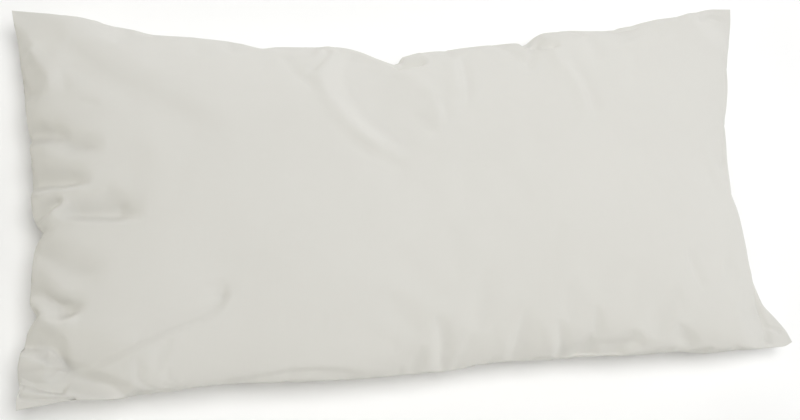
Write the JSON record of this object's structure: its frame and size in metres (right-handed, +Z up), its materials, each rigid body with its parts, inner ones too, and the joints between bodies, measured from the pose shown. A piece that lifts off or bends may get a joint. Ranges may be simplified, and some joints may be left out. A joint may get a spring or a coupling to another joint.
{
  "type": "filled pillowcase",
  "caption": "Plain rectangular bed pillowcase, filled: crowned face, drawn-in sides, flat cloth corners, a gathered tuck in one long seam and soft puckers.",
  "frame": {"origin": "middle of the case's outline, on the surface that its back lies on", "axes": "+X along the long side, +Y across to the long side with the tuck, +Z up out of the crowned face"},
  "size_m": [0.788, 0.388, 0.121],
  "materials": {
    "cotton": "smooth, matt, tightly woven plain cotton in warm off-white"
  },
  "bodies": {
    "root": {"pillowcase": "cotton"}
  },
  "joints": []
}
